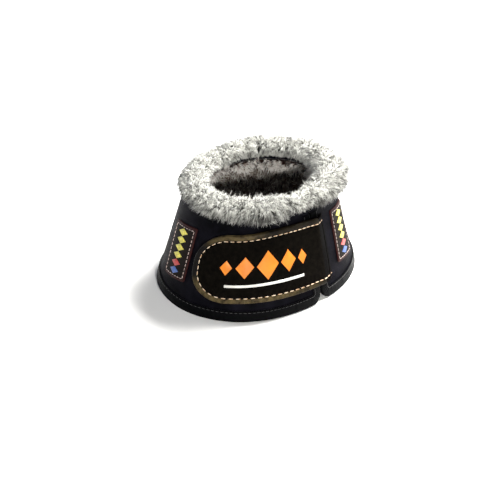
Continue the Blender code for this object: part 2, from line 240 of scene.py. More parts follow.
def grain(tree, scale, detail, roughness=0.5):
    """A cloudy pattern that stays on a piece as it moves, of scale spots to the metre."""
    place = node(tree, "ShaderNodeTexCoord").outputs["Object"]
    inputs = {"Vector": place, "Scale": scale, "Detail": detail, "Roughness": roughness}
    return node(tree, "ShaderNodeTexNoise", inputs).outputs["Fac"]


def ribs(tree, scale, distortion, detail=2, **settings):
    """A pattern of fine ribs that follows the cloth."""
    place = node(tree, "ShaderNodeUVMap", uv_map="cloth").outputs["UV"]
    inputs = {"Vector": place, "Scale": scale, "Distortion": distortion, "Detail": detail}
    return node(tree, "ShaderNodeTexWave", inputs, **settings).outputs["Fac"]


def combine(tree, operation, first, second):
    """Two patterns worked into one."""
    return node(tree, "ShaderNodeMath", {0: first, 1: second}, operation=operation).outputs["Value"]


def bump(tree, shader, height, distance):
    """Lets a height pattern tilt the surface's shading."""
    made = node(tree, "ShaderNodeBump", {"Height": height, "Distance": distance, "Strength": 1.0})
    tree.links.new(made.outputs["Normal"], shader.inputs["Normal"])


def fit_arc(piece, arc, material, layer):
    """Gives an arc of a layer its material, hides the solids that it stands for, and places it with follow_panels."""
    piece.data.materials.append(material)
    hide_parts(*[f"{layer}_{panel}" for panel in ARCS[arc][5]])
    follow_panels(piece, arc)


NYLON_DEEP = (0.0005, 0.0005, 0.0010)
NYLON_WORN = (0.0058, 0.0054, 0.0090)
NYLON_TINT = (0.66, 0.64, 0.95)
KNIT_DEPTH = 0.06 * MM
neoprene_cloth, tree, shader = surface("neoprene_cloth", 0.55, sheen=0.010, specular=0.02, tint=NYLON_TINT)
paint(tree, shader, grain(tree, 48, 7, 0.68), (0.40, NYLON_DEEP), (0.68, NYLON_WORN))
knit = combine(tree, "ADD", ribs(tree, 520, 1.5, detail=1), grain(tree, 1500, 2))
bump(tree, shader, knit, KNIT_DEPTH)

for arc in ARCS:
    edges = [SHELL_END, CORNER_RADIUS, SHELL_BOTTOM, SHELL_HEIGHT]
    piece = sheet_arc(f"shell_cloth_{arc}", arc, *edges, 0, SHELL_WALL)
    fit_arc(piece, arc, neoprene_cloth, "shell")

# Lining. Grey pile fleece glued inside the shell: a knitted back with locks of fibre that stand in all directions.
# The locks are short tapered strands, gathered in tufts, whose tips are paler than their roots: painted shade darkens
# the roots, standing for the shade down between the locks.
LINING_PILE = 10.0 * MM
LINING_BACK = 4.6 * MM
LINING_LOCK = 7.5 * MM
LINING_DENSITY = 1.75 / MM**2
CREASE = 2.5 * MM
COLLAR_BOTTOM = 80.4 * MM
TUFT_RADIUS = 1.0 * MM
STRANDS_IN_TUFT = 6
STRAND_RADIUS = 0.30 * MM
STRAND_SIDES = 3
FLOOR_CLEAR = 0.5 * MM
MIDDLE_WIDTH = 0.85
WAVE_SIZE = 14.0 * MM
CURL_SIZE = 3.5 * MM
SHADE_SIZE = 6.0 * MM
FLECK_LOSS = 0.5
PALE_TONE = 0.72
BAND_DEPTH = 9.0 * MM
BAND_RAGGED = 9.0 * MM
random = np.random.default_rng(20)
noise.seed_set(20)


def strand_faces():
    """The faces of one closed strand: a foot, a ring half way up and a tip, as rows of corner numbers."""
    lock = bmesh.new()
    bmesh.ops.create_circle(lock, cap_ends=True, segments=STRAND_SIDES, radius=1)
    foot = list(lock.faces)
    bmesh.ops.reverse_faces(lock, faces=foot)
    rim = list(lock.edges)
    for rise in (1, 2):
        grown = bmesh.ops.extrude_edge_only(lock, edges=rim)["geom"]
        rim = [e for e in grown if isinstance(e, bmesh.types.BMEdge)]
        rim_verts = [v for v in grown if isinstance(v, bmesh.types.BMVert)]
        rim = [e for e in rim if all(v in rim_verts for v in e.verts)]
        bmesh.ops.translate(lock, verts=rim_verts, vec=(0, 0, 1))
    bmesh.ops.pointmerge(lock, verts=rim_verts, merge_co=(0, 0, 2))
    bmesh.ops.recalc_face_normals(lock, faces=lock.faces[:])
    lock.verts.index_update()
    corners = np.array([v.co for v in lock.verts])
    faces = [[v.index for v in f.verts] for f in lock.faces]
    lock.free()
    return corners, faces


STRAND_CORNERS, STRAND_FACES = strand_faces()


def numbers(parts, field):
    """One field of all of a mesh's corners, loops or faces, in a row."""
    row = np.empty(len(parts) * 3) if field == "co" else np.empty(len(parts), int)
    parts.foreach_get(field, row)
    return row


def copies(name, places, faces, base=None, values=None):
    """One mesh of many like shapes, joined behind a base mesh if there is one: places is an array of shape, corner
    and xyz, and values holds three numbers for each corner's look."""
    count, corners = places.shape[:2]
    points = places.reshape(-1, 3)
    loops = (np.concatenate(faces)[None, :] + np.arange(count)[:, None] * corners).ravel()
    sizes = np.tile([len(f) for f in faces], count)
    looks = np.zeros((len(points), 3), np.float32) if values is None else values.reshape(-1, 3)
    if base is not None:
        points = np.concatenate([numbers(base.vertices, "co").reshape(-1, 3), points])
        loops = np.concatenate([numbers(base.loops, "vertex_index"), loops + len(base.vertices)])
        sizes = np.concatenate([numbers(base.polygons, "loop_total"), sizes])
        # The base's corners read as the feet of strands, so the bare back between the locks takes the darkest painted
        # shade of the roots.
        looks = np.concatenate([np.zeros((len(base.vertices), 3), np.float32), looks])
    mesh = bpy.data.meshes.new(name)
    mesh.vertices.add(len(points))
    mesh.vertices.foreach_set("co", points.ravel())
    mesh.loops.add(len(loops))
    mesh.loops.foreach_set("vertex_index", loops)
    mesh.polygons.add(len(sizes))
    mesh.polygons.foreach_set("loop_start", np.concatenate([[0], np.cumsum(sizes)[:-1]]))
    mesh.update(calc_edges=True)
    mesh.attributes.new("fleece", "FLOAT_VECTOR", "POINT").data.foreach_set("vector", looks.ravel())
    mesh.shade_smooth()
    mesh.validate()
    made = bpy.data.objects.new(name, mesh)
    bpy.context.scene.collection.objects.link(made)
    return made


def unit(vectors):
    """Rows of vectors, each made one long."""
    return vectors / np.maximum(np.linalg.norm(vectors, axis=1, keepdims=True), 1e-9)


def scattered(base, count, wanted):
    """Places spread evenly over a mesh's faces where wanted(points, normals) is true, with their normals."""
    corners = numbers(base.vertices, "co").reshape(-1, 3)
    normals = np.array([v.normal for v in base.vertices])
    faces = [list(face.vertices) for face in base.polygons]
    faces = sorted(face[face.index(min(face)) :] + face[: face.index(min(face))] for face in faces)
    triangles = np.array([(f[0], f[n], f[n + 1]) for f in faces for n in range(1, len(f) - 1)])
    a, b, c = (corners[triangles[:, n]] for n in range(3))
    areas = np.linalg.norm(np.cross(b - a, c - a), axis=1)
    middles = (a + b + c) / 3
    flat = unit(np.cross(b - a, c - a))
    areas = areas * wanted(middles, flat)
    chosen = random.choice(len(triangles), size=int(count * areas.sum() / 2), p=areas / areas.sum())
    u, v = random.random((2, len(chosen), 1))
    over = u + v > 1
    u, v = np.where(over, 1 - u, u), np.where(over, 1 - v, v)
    weights = (1 - u - v, u, v)
    points = sum(w * corners[triangles[chosen, n]] for n, w in enumerate(weights))
    facing = unit(sum(w * normals[triangles[chosen, n]] for n, w in enumerate(weights)))
    return points, facing


def noise_field(points, size, seed):
    """A smooth random vector at each place, of about one unit, that changes over a distance of size."""
    shift = Vector((seed * 7.3, seed * 3.1, seed * 5.7))
    return np.array([noise.noise_vector(Vector(p) / size + shift) for p in points])


def fleece(name, base, density, wanted, lock, comb, stand, droop, seed, width=STRAND_RADIUS, pale=None, flecks=0):
    """A pile on a base mesh. lock(points, normals) is how long its locks are and comb(points, normals) the way they
    lean, stand how upright they are, droop how heavy, pale(points) how much paler they are than the rest, as painted
    light, and where it is negative how much darker, as painted shade, and flecks the share of dark ones."""
    centres, facing = scattered(base, density / STRANDS_IN_TUFT, wanted)
    tufts = len(centres)
    way = comb(centres, facing) + 0.9 * noise_field(centres, WAVE_SIZE, seed)
    way += 0.7 * noise_field(centres, CURL_SIZE, seed + 1) + 0.2 * random.normal(size=(tufts, 3))
    way -= facing * np.sum(way * facing, axis=1, keepdims=True)
    length = lock(centres, facing)[:, None] * (0.62 + 0.66 * random.random((tufts, 1)))
    tone = 0.5 + 0.3 * noise_field(centres, SHADE_SIZE, seed + 2)[:, :1] + 0.28 * random.normal(size=(tufts, 1))
    tone = np.minimum(tone, PALE_TONE) + (pale(centres)[:, None] if pale else 0)
    tone -= FLECK_LOSS * (random.random((tufts, 1)) < flecks)
    each = np.repeat(np.arange(tufts), STRANDS_IN_TUFT)
    side = unit(np.cross(facing, [0.31, 0.17, 0.93]))
    other = np.cross(facing, side)
    turn = random.random(len(each))[:, None] * FULL_TURN
    spread = np.sqrt(random.random(len(each)))[:, None] * TUFT_RADIUS
    offset = spread * (np.cos(turn) * side[each] + np.sin(turn) * other[each])
    root = centres[each] + offset - facing[each] * 0.5 * MM
    reach = length[each] * (0.75 + 0.5 * random.random((len(each), 1)))
    lean = way[each] + 0.22 * random.normal(size=(len(each), 3))
    upright = facing[each] * stand * (0.8 + 0.4 * random.random((len(each), 1)))
    first = unit(upright + lean * 0.7)
    last = unit(upright * 0.3 + lean + np.array([0, 0, -droop]))
    middle = root + first * reach * 0.5 - offset * 0.25
    tip = middle + last * reach * 0.5 - offset * 0.5
    tip[:, 2] = np.maximum(tip[:, 2], FLOOR_CLEAR)
    along = STRAND_CORNERS[:, 2] / 2
    across = unit(np.cross(first + last, facing[each] + 0.01))
    raised = unit(np.cross(across, first + last))
    thick = width * (0.7 + 0.6 * random.random((len(each), 1)))
    places = np.empty((len(each), len(along), 3))
    for n, (x, y, rise) in enumerate(STRAND_CORNERS):
        centre, wide = ((root, 1), (middle, MIDDLE_WIDTH), (tip, 0))[round(rise)]
        places[:, n] = centre + thick * wide * (x * across + y * raised)
    values = np.empty((len(each), len(along), 3), np.float32)
    values[:, :, 0] = along[None, :]
    values[:, :, 1] = np.clip(tone[each] + 0.16 * random.normal(size=(len(each), 1)), 0, 1)
    values[:, :, 2] = random.random((len(each), 1))
    return copies(name, places, STRAND_FACES, base, values)


def pile_material(name, root, dark, middle, light, palest):
    """Fleece: each lock a little different, and paler towards its tip, where painted shade darkens each strand towards
    its root and the knitted back between the locks most.
    """
    made, tree, shader = surface(name, 0.9, sheen=0.25, specular=0.2)
    value = node(tree, "ShaderNodeAttribute", attribute_name="fleece").outputs["Vector"]
    parts = node(tree, "ShaderNodeSeparateXYZ", {"Vector": value}).outputs
    tone = ramp(tree, parts["Y"], (0.05, dark), (0.4, middle), (PALE_TONE, light), (1.0, palest))
    # Painted shade: the root colour darkens each strand's foot, where shade falls between the locks.
    tip = ramp(tree, parts["X"], (0.0, root), (0.55, 0.72), (1.0, 1.0))
    inputs = {"Factor": 1.0, 6: tone, 7: tip}
    mixed = node(tree, "ShaderNodeMix", inputs, data_type="RGBA", blend_type="MULTIPLY")
    tree.links.new(mixed.outputs[2], shader.inputs["Base Color"])
    return made


# Partly the lining's own darker grey and partly painted shade: its root colour and darker tones are browned and
# darkened, standing for the shade deep inside the boot. Its palest tone is used for the painted light of the band under
# the collar.
LINING_ROOT_SHADE = (0.20, 0.085, 0.035)
LINING_SHADED_TONES = [(0.060, 0.031, 0.015), (0.18, 0.135, 0.098), (0.42, 0.40, 0.36), (1.0, 0.96, 0.91)]
lining_pile = pile_material("lining_pile", LINING_ROOT_SHADE, *LINING_SHADED_TONES)


def inwards(points, normals):
    """True where a lining's face looks into the boot, and not at the ends of an arc."""
    return np.sum(unit(points[:, :2]) * normals[:, :2], axis=1) < -0.6


def painted_lit_band(points):
    """Painted light: the lining's pile is paler, and mottled, in a ragged band under the collar, where light falls on
    it over the front of the collar.
    """
    ragged = BAND_RAGGED * noise_field(points, BAND_RAGGED, 40)[:, 0]
    mottled = 0.95 + 0.7 * noise_field(points, CURL_SIZE, 41)[:, 0]
    return mottled * np.clip((points[:, 2] + ragged - COLLAR_BOTTOM + BAND_DEPTH) / MM, 0, 1)


def all_of(length):
    """Locks that are all of one length."""
    return lambda points, normals: np.full(len(points), length)


def any_way(points, normals):
    """No lean of its own: the lining's locks turn every way."""
    return np.zeros_like(points)


for number, arc in enumerate(ARCS):
    inset = SHELL_END + BINDING_WIDTH + GAP
    low = SHELL_BOTTOM + BINDING_WIDTH + GAP
    face = -SHELL_WALL - GAP
    back = sheet_arc("lining_back", arc, inset, 2 * MM, low, COLLAR_BOTTOM - CREASE, face, LINING_BACK)
    # The lining's pile takes painted light in a ragged band under the collar.
    pile = [LINING_DENSITY, inwards, all_of(LINING_LOCK), any_way, 1.0, 0.15, number]
    piece = fleece(f"lining_fleece_{arc}", back.data, *pile, pale=painted_lit_band)
    bpy.data.objects.remove(back)
    fit_arc(piece, arc, lining_pile, "lining")

# Collar. A roll of longer, pale grey fleece sewn over the shell's top edge, which it takes in a slit from below.
# Its locks lie outwards and hang over the shell and inwards round the neck.
COLLAR_HALF_WIDTH = 14.0 * MM
COLLAR_HALF_HEIGHT = 10.3 * MM
COLLAR_DEPTH = 4.4 * MM
COLLAR_CENTRE = COLLAR_BOTTOM + COLLAR_HALF_HEIGHT
COLLAR_SIDES = 30
ROLL_START, ROLL_SPAN = math.radians(-50), math.radians(262)
COLLAR_LOCK = 8.0 * MM
COLLAR_DENSITY = 3.6 / MM**2
COLLAR_LUMP = 1.1 * MM
LUMP_SIZE = 13.0 * MM
COLLAR_FLECKS = 0.06
COLLAR_TRIM = 0.25 * MM
CLOSURE_REACH = 4.0 * MM
RIGHT_EXCESS = 0.16
SIDE_SHIFT = 2.6 * MM
RIGHT_BULGE = 2.6 * MM
HANG_START = math.radians(-52)
HANG_END = math.radians(23)
HANG_EDGES = (math.radians(38), math.radians(2.5))
HANG_MOST = 0.7
HANG_LOSS = 0.55
HANG_RISE = 4.5 * MM
PAINTED_SHADE_MOST = 1.2
MATTED_AT = math.radians(37)
MATTED_REACH = math.radians(20)
MATTED_LOSS = 0.35


def collar_section():
    """The roll across, under its pile: an oval with a slit below for the shell, as (offset from the shell, height)."""
    half_width, half_height = COLLAR_HALF_WIDTH - COLLAR_DEPTH, COLLAR_HALF_HEIGHT - COLLAR_DEPTH
    middle = shell_radius(COLLAR_CENTRE) - SHELL_WALL
    section = []
    for n in range(COLLAR_SIDES + 1):
        turn = ROLL_START + ROLL_SPAN * n / COLLAR_SIDES
        height = COLLAR_CENTRE + half_height * math.sin(turn)
        radius = middle + half_width * math.cos(turn)
        section.append((radius - shell_radius(height), height))
    return section + [(-SHELL_WALL - GAP, SHELL_HEIGHT + GAP), (GAP, SHELL_HEIGHT + GAP)]


def from_front(angle):
    """An angle as it is counted both ways from the front."""
    return np.mod(angle + math.pi, FULL_TURN) - math.pi


def hang(angle):
    """How low the collar's pile hangs: lowest at the front, where it ends in a step at the right."""
    turned = from_front(angle)
    grows, ends = HANG_EDGES
    return HANG_MOST * np.clip((turned - HANG_START) / grows, 0, 1) * np.clip((HANG_END - turned) / ends, 0, 1)


def matted(angle):
    """How flat the pile is, from 0 to 1: most at the front right, beside the closure. It also deepens the collar's
    painted shade there.
    """
    turned = from_front(angle)
    return np.exp(-(((turned - MATTED_AT) / MATTED_REACH) ** 2)) * (turned > HANG_END - HANG_EDGES[1])


def cut_across(shape, places, axis=0, carries_pile=False):
    """Cuts a straight shape across at each place along an axis, to let it bend there. Where it carries pile, its
    edges and faces are put in the order of their corners before each cut, so that every run cuts alike."""
    across = Vector((0, 0, 0))
    across[axis] = 1
    for place in places:
        if carries_pile:
            shape.verts.index_update()
            shape.edges.sort(key=corner_key)
            shape.faces.sort(key=corner_key)
        parts = shape.verts[:] + shape.edges[:] + shape.faces[:]
        bmesh.ops.bisect_plane(shape, geom=parts, plane_co=across * place, plane_no=across)


def corner_key(part):
    """A number that orders an edge or a face by the lowest three of its corners' numbers."""
    lowest = sorted(vert.index for vert in part.verts)[:3]
    return sum(index * 1e5**place for place, index in enumerate(lowest))


def collar_arc(arc):
    """One arc of the roll, drawn straight, cut across, and wrapped round the neck."""
    start, end = arc_ends(arc)
    trim = COLLAR_TRIM / HEM_RADIUS
    start, end = start + trim * (arc == "right"), end - trim * (arc == "front")
    roll = bmesh.new()
    face = roll.faces.new([roll.verts.new((0, y, z)) for y, z in collar_section()])
    pull(roll, [face], (end - start, 0, 0))
    count = round((end - start) / ARC_STEP)
    cut_across(roll, [(end - start) * n / count for n in range(1, count)], carries_pile=True)
    for vert in roll.verts:
        x, y, z = vert.co
        swell = noise.noise(on_boot(start + x, z, y) / LUMP_SIZE) * COLLAR_LUMP
        lift = 1 + swell / COLLAR_HALF_HEIGHT
        height = COLLAR_CENTRE + (z - COLLAR_CENTRE) * lift
        offset = y * lift + swell
        if abs(z - SHELL_HEIGHT) > MM or abs(y + SHELL_WALL / 2) > SHELL_WALL:
            side = math.sin(start + x)
            outer = max(0, y + SHELL_WALL / 2) / COLLAR_HALF_WIDTH
            offset += SIDE_SHIFT * side + RIGHT_BULGE * max(0, side) ** 2 * outer
            if height < COLLAR_CENTRE:
                height += HANG_RISE * (1 - float(hang(start + x))) * min(1, 2 * outer)
        vert.co = on_boot(start + x, height, offset)
    return finished("collar_roll", roll)


def angle_of(points):
    """The angle of each place from the front."""
    return np.arctan2(points[:, 0], -points[:, 1])


def off_the_shell(points, normals):
    """True on the roll's own round face, and not in its slit or at its ends."""
    radius = np.hypot(points[:, 0], points[:, 1])
    flat = np.abs(normals[:, 0] * points[:, 1] - normals[:, 1] * points[:, 0]) < 0.6 * radius
    angle = angle_of(points)
    oval = 1 + OVAL_SHARE * np.cos(2 * (angle - OVAL_DIRECTION))
    across = radius / oval - (shell_radius(COLLAR_CENTRE) - SHELL_WALL)
    below = (normals[:, 2] < -0.55) & (np.abs(across - SHELL_WALL / 2) < SHELL_WALL)
    within = (normals[:, 2] < -0.85) & (across < 0)
    return flat & ~below & ~within


def outwards_and_down(points, normals):
    """The locks lie from the neck outwards, and hang at the roll's outer and inner sides."""
    radial = np.zeros_like(points)
    radial[:, :2] = unit(points[:, :2])
    outside = np.sum(radial * normals, axis=1, keepdims=True)
    lean = np.clip(outside + 0.12, -0.8, 0.8) * radial
    lean[:, 2:] -= 0.5 * np.abs(outside)
    angle = angle_of(points)
    apart = (angle - CLOSURE) * np.hypot(points[:, 0], points[:, 1])
    across = np.stack([np.cos(angle), np.sin(angle), 0 * angle], axis=1)
    return lean - across * (np.sign(apart) * np.exp(-np.abs(apart) / CLOSURE_REACH))[:, None]


def collar_lock(points, normals):
    """The collar's locks are longer at the right, hang below the roll at the front only, and are short under it
    inside."""
    angle = angle_of(points)
    inside = np.sum(unit(points[:, :2]) * normals[:, :2], axis=1) < 0
    under = inside * np.clip((-normals[:, 2] - 0.5) / 0.2, 0, 1)
    side = 1 + RIGHT_EXCESS * np.sin(angle)
    below = np.clip((COLLAR_CENTRE + 3 * MM - points[:, 2]) / (4 * MM), 0, 1)
    length = side * (1 - below) + below * (1 - HANG_LOSS * (1 - hang(angle)))
    return COLLAR_LOCK * length * (1 - MATTED_LOSS * matted(angle)) * (1 - 0.4 * under)


def painted_shade_below(points):
    """Painted shade: the collar's pile is darker in patches low down on its outer side, where it faces away from the
    light, reaching higher and darker at the front right where the pile is flat, and a little darker under the roll
    inside.
    """
    flat = matted(angle_of(points))
    low = np.clip((COLLAR_CENTRE + (5 + 4 * flat) * MM - points[:, 2]) / ((8 - 4 * flat) * MM), 0, 1)
    patches = 0.55 + 1.2 * noise_field(points, 7 * MM, 50)[:, 0] + 0.9 * noise_field(points, 2.6 * MM, 51)[:, 0]
    patches += 0.35 * flat
    outer = np.hypot(points[:, 0], points[:, 1]) > shell_radius(COLLAR_CENTRE)
    under = ~outer & (points[:, 2] < COLLAR_CENTRE - 4.2 * MM)
    return -PAINTED_SHADE_MOST * outer * low * np.clip(patches, 0, 1) - 0.05 * under


# The collar's root colour is painted shade, standing for the shade down between its locks.
COLLAR_ROOT_SHADE = (0.14, 0.135, 0.12)
COLLAR_TONES = [(0.11, 0.11, 0.10), (0.66, 0.66, 0.61), (0.92, 0.92, 0.86), (0.97, 0.97, 0.91)]
collar_pile = pile_material("collar_pile", COLLAR_ROOT_SHADE, *COLLAR_TONES)

for number, arc in enumerate(ARCS):
    roll = collar_arc(arc)
    pile = [COLLAR_DENSITY, off_the_shell, collar_lock, outwards_and_down, 0.95, 0.35, 10 + number]
    # The collar's pile takes painted shade low down on its outer side and under the roll.
    piece = fleece(f"collar_fleece_{arc}", roll.data, *pile, pale=painted_shade_below, flecks=COLLAR_FLECKS)
    bpy.data.objects.remove(roll)
    fit_arc(piece, arc, collar_pile, "collar")

# Binding. Black ribbed tape, folded over the hem and both ends and sewn through near its edge with black thread.
BINDING_INNER = SHELL_WALL + GAP + BINDING_TAPE
BINDING_STEP = 1.5 * MM
BINDING_STITCH_IN = 7.6 * MM
BINDING_STITCH = 3.0 * MM
BINDING_PITCH = 3.8 * MM
BINDING_THREAD = 0.5 * MM
TAPE_STEPS = 10
TAPE_EDGE = 0.25 * MM
PUCKER = 0.12 * MM
STRAIGHT_END = COLLAR_BOTTOM - GAP - SHELL_BOTTOM - CORNER_RADIUS


def tape_section():
    """The folded tape across: a round fold under the shell's edge, as (offset from the shell, distance in)."""
    outer, inner = GAP + BINDING_TAPE, -BINDING_INNER
    middle, half = (outer + inner) / 2, (outer - inner) / 2
    turns = [math.pi * n / TAPE_STEPS for n in range(TAPE_STEPS + 1)]
    faces = []
    for across, deep in ((half, outer + BINDING_TAPE), (half - BINDING_TAPE, BINDING_TAPE + GAP)):
        faces.append([(middle + across * math.cos(t), BINDING_TAPE - deep * math.sin(t)) for t in turns])
    top, low = BINDING_WIDTH, BINDING_WIDTH - TAPE_EDGE
    section = [(outer - TAPE_EDGE, top), (outer, low), *faces[0], (inner, low), (inner + TAPE_EDGE, top)]
    return section + [(inner + BINDING_TAPE, low), *reversed(faces[1]), (outer - BINDING_TAPE, low)]


def binding_place(walked):
    """Where the tape is after a length of it from the collar down: (in from the end, height, turn into the sheet)."""
    bend = CORNER_RADIUS * math.pi / 2
    if walked < STRAIGHT_END:
        return SHELL_END, SHELL_BOTTOM + CORNER_RADIUS + STRAIGHT_END - walked, 0
    if walked < STRAIGHT_END + bend:
        turn = (walked - STRAIGHT_END) / CORNER_RADIUS
        x = SHELL_END + CORNER_RADIUS * (1 - math.cos(turn))
        return x, SHELL_BOTTOM + CORNER_RADIUS * (1 - math.sin(turn)), turn
    return SHELL_END + CORNER_RADIUS + walked - STRAIGHT_END - bend, SHELL_BOTTOM, math.pi / 2


def on_binding(arc, walked, offset, distance):
    """A point of the tape, by the length along it, its offset from the shell's face and its distance in."""
    start, end = arc_ends(arc)
    if arc in ("right", "front"):
        x, height, turn = binding_place(walked)
        x += distance * math.cos(turn)
        height += distance * math.sin(turn)
        share = min(1, x / (3 * CORNER_RADIUS))
        angle = x / (share * HEM_RADIUS + (1 - share) * shell_radius(height))
        return on_boot(CLOSURE + angle if arc == "right" else CLOSURE + FULL_TURN - angle, height, offset)
    return on_boot(start + walked / HEM_RADIUS, SHELL_BOTTOM + distance, offset)


def binding_length(arc):
    """The length of tape in an arc, up its free end if it has one."""
    start, end = arc_ends(arc)
    hem = (end - start) * HEM_RADIUS
    if arc not in ("right", "front"):
        return hem
    return hem - SHELL_END - CORNER_RADIUS + STRAIGHT_END + CORNER_RADIUS * math.pi / 2


def binding_arc(name, arc):
    """One arc of the tape, drawn straight, cut across, and laid along the shell's edge."""
    length = binding_length(arc)
    tape = bmesh.new()
    face = tape.faces.new([tape.verts.new((0, y, z)) for y, z in tape_section()])
    pull(tape, [face], (length, 0, 0))
    count = round(length / BINDING_STEP)
    cut_across(tape, [length * n / count for n in range(1, count)])
    cloth = tape.loops.layers.uv.new("cloth")
    for face in tape.faces:
        for loop in face.loops:
            loop[cloth].uv = (loop.vert.co.x, loop.vert.co.z + loop.vert.co.y)
    for vert in tape.verts:
        x, y, z = vert.co
        pucker = PUCKER * noise.noise(Vector((x / (4 * MM), z / (6 * MM), 3)))
        vert.co = on_binding(arc, x, y + pucker * (y > -SHELL_WALL / 2), z)
    return finished(name, tape)


def stitch_shape():
    """One stitch: a short thread whose ends sink into the cloth, long along X and lying in the XY plane."""
    thread = bmesh.new()
    bmesh.ops.create_uvsphere(thread, u_segments=8, v_segments=6, radius=1)
    thread.verts.index_update()
    corners = np.array([v.co for v in thread.verts])[:, [2, 0, 1]]
    faces = [[v.index for v in f.verts] for f in thread.faces]
    thread.free()
    return corners, faces


STITCH_CORNERS, STITCH_FACES = stitch_shape()
STITCH_RISE = 0.12


def stitches(name, rows, length, thickness, material):
    """A row of stitches: rows holds for each its middle, a point behind and one ahead, and a point out of the cloth."""
    places = np.empty((len(rows), len(STITCH_CORNERS), 3))
    for n, (place, behind, ahead, above) in enumerate(rows):
        along, out = (ahead - behind).normalized(), (above - place).normalized()
        across = (above - place).cross(ahead - behind).normalized()
        axes = np.array([along * length / 2, across * thickness / 2, out * thickness / 2])
        places[n] = STITCH_CORNERS @ axes + np.array(place + out * thickness * STITCH_RISE)
    made = copies(name, places, STITCH_FACES)
    made.data.materials.append(material)
    return made


def thread_material(name, colour, worn=None):
    """Twisted polyester thread, of a deeper colour where it is worn."""
    made, tree, shader = surface(name, 0.5, sheen=0.2)
    fibre = grain(tree, 900, 2)
    paint(tree, shader, fibre, (0.38, worn or tuple(c * 0.55 for c in colour)), (0.58, colour))
    bump(tree, shader, fibre, 0.08 * MM)
    return made


TAPE_DEEP = (0.0005, 0.0006, 0.0008)
TAPE_RIB = (0.0015, 0.0017, 0.0022)
ribbed_tape, tree, shader = surface("ribbed_tape", 0.35, sheen=0.001, specular=0.025)
rib = ribs(tree, 290, 0.4, detail=1)
paint(tree, shader, rib, (0.2, TAPE_DEEP), (0.8, TAPE_RIB))
bump(tree, shader, rib, 0.12 * MM)
black_thread = thread_material("black_thread", (0.012, 0.012, 0.013))

for arc in ARCS:
    piece = binding_arc(f"binding_tape_{arc}", arc)
    fit_arc(piece, arc, ribbed_tape, "binding")
    length = binding_length(arc)
    count = round(length / BINDING_PITCH)
    face = GAP + BINDING_TAPE
    rows = []
    for n in range(count):
        walked = (n + 0.5) * length / count
        behind, ahead = (on_binding(arc, walked + d, face, BINDING_STITCH_IN) for d in (-MM, MM))
        rows.append(((behind + ahead) / 2, behind, ahead, on_binding(arc, walked, face + MM, BINDING_STITCH_IN)))
    seam = stitches(f"binding_stitches_{arc}", rows, BINDING_STITCH, BINDING_THREAD, black_thread)
    follow_panels(seam, arc)

# Strap. A wide band of black brushed loop cloth on a padded back, with a rounded free end, a raised rim outside its
# one row of pale orange stitches, and a pressed, thinner root that is sewn to the right front of the shell.
STRAP_BOTTOM = 19.5 * MM
STRAP_TOP = 78.5 * MM
STRAP_MIDDLE = (STRAP_BOTTOM + STRAP_TOP) / 2
STRAP_RIDGE = 3.0 * MM
STRAP_SEAM = 11.9 * MM
STRAP_BASE = STRAP_SEAM + 3.0 * MM
STRAP_FOLD = 14.0 * MM
STRAP_TIP = -109.3 * MM
STRAP_SPLIT = -STRAP_FOLD / 2
STRAP_END_RADIUS = 26.0 * MM
STRAP_END_FLAT = 7.0 * MM
TIP_STEPS = 12
STRAP_LEVEL = 2.9 * MM
STRAP_BACK = 2.1 * MM
STRAP_RIM_RISE = 0.7 * MM
STRAP_RIM_WIDTH = 4.3 * MM
STRAP_RIM_ROUND = 0.9 * MM
STRAP_PILLOW = 0.5 * MM
PILLOW_EDGE = 6.0 * MM
PILLOW_REACH = 7.0 * MM
PILLOW_LUMP = 0.18 * MM
STRAP_ROW = 4.5 * MM
BEND_STEP = 1.6 * MM
ROOT_SHARE = 0.6
RIDGE_RISE = 1.8 * MM
RIDGE_REACH = 9.0 * MM
SEWN_LEVEL = 0.9 * MM
STRAP_DIP = 2.7 * MM
TIP_TAPER = 2.6 * MM
TAPER_START = -38.0 * MM
TAPER_REACH = 42.0 * MM
STITCH_LENGTH = 3.9 * MM
STITCH_PITCH = 5.1 * MM
STITCH_THICKNESS = 0.78 * MM
STITCH_INSET = 4.5 * MM
STITCH_STOP = 1.5 * MM


def strap_angle(x):
    """The strap's length from the closure, as an angle on the boot."""
    return CLOSURE + x / shell_radius(STRAP_MIDDLE)


def strap_dip(x):
    """How far the strap has come down: it is cut straighter than the cone, so its two ends stand lower."""
    return STRAP_DIP * ((2 * x - STRAP_BASE - STRAP_TIP) / (STRAP_BASE - STRAP_TIP)) ** 2


def strap_height(x, z):
    """The height of a place on the strap: its ends stand lower, and its free end is cut narrower from above."""
    toward_tip = min(max((TAPER_START - x) / TAPER_REACH, 0), 1)
    eased = toward_tip**2 * (3 - 2 * toward_tip)
    return z - strap_dip(x) - TIP_TAPER * eased * (z - STRAP_BOTTOM) / (STRAP_TOP - STRAP_BOTTOM)


def on_strap(x, y, z):
    """A point of the strap: it stands off the shell over the hook and loop, ridges up where the boot closes, and
    comes down over the binding to its seam."""
    higher = 0.4 + 0.6 * (z - STRAP_BOTTOM) / STRAP_MIDDLE
    ridge = RIDGE_RISE * math.exp(-(((x - STRAP_RIDGE) / RIDGE_REACH) ** 2)) * higher
    down = min(max((x - STRAP_RIDGE) / (STRAP_BASE - STRAP_RIDGE), 0), 1)
    lift = STRAP_LEVEL + ridge + (SEWN_LEVEL - STRAP_LEVEL - ridge) * down
    press = min(max((x - STRAP_SEAM + MM) / (2 * MM), 0), 1)
    return on_boot(strap_angle(x), strap_height(x, z), lift + y * (1 - (1 - ROOT_SHARE) * press))


def pillow(x, z):
    """How far the strap's padded face swells, more in its middle and unevenly."""
    edge = min(z - STRAP_BOTTOM, STRAP_TOP - z, x - STRAP_TIP) - PILLOW_EDGE
    if edge <= 0:
        return 0
    uneven = PILLOW_LUMP * noise.noise(Vector((x, 0, z)) / WAVE_SIZE)
    return STRAP_PILLOW * (1 - math.exp(-edge / PILLOW_REACH)) + uneven


